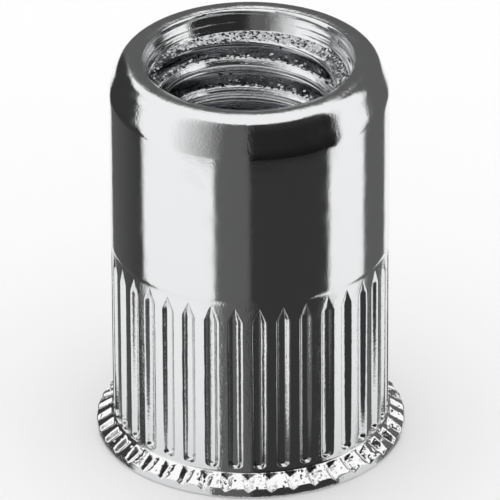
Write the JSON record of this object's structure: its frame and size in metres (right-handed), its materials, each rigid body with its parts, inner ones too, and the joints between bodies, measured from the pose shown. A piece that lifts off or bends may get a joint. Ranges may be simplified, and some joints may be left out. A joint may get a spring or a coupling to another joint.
{
  "type": "blind rivet nut",
  "caption": "Threaded insert for blind setting in sheet: a plain round shank with an internally threaded open end, a knurled collapsible sleeve and a small serrated flange.",
  "frame": {"origin": "centre of the flange's outer face, which the nut stands on", "axes": "+Z along the thread's axis, from the flange to the threaded end"},
  "size_m": [0.0122, 0.0122, 0.0164],
  "materials": {
    "zinc_plate": "bright zinc plate on cold formed steel, turned mouth"
  },
  "bodies": {
    "root": {"rivet_nut_body": "zinc_plate"}
  },
  "joints": []
}
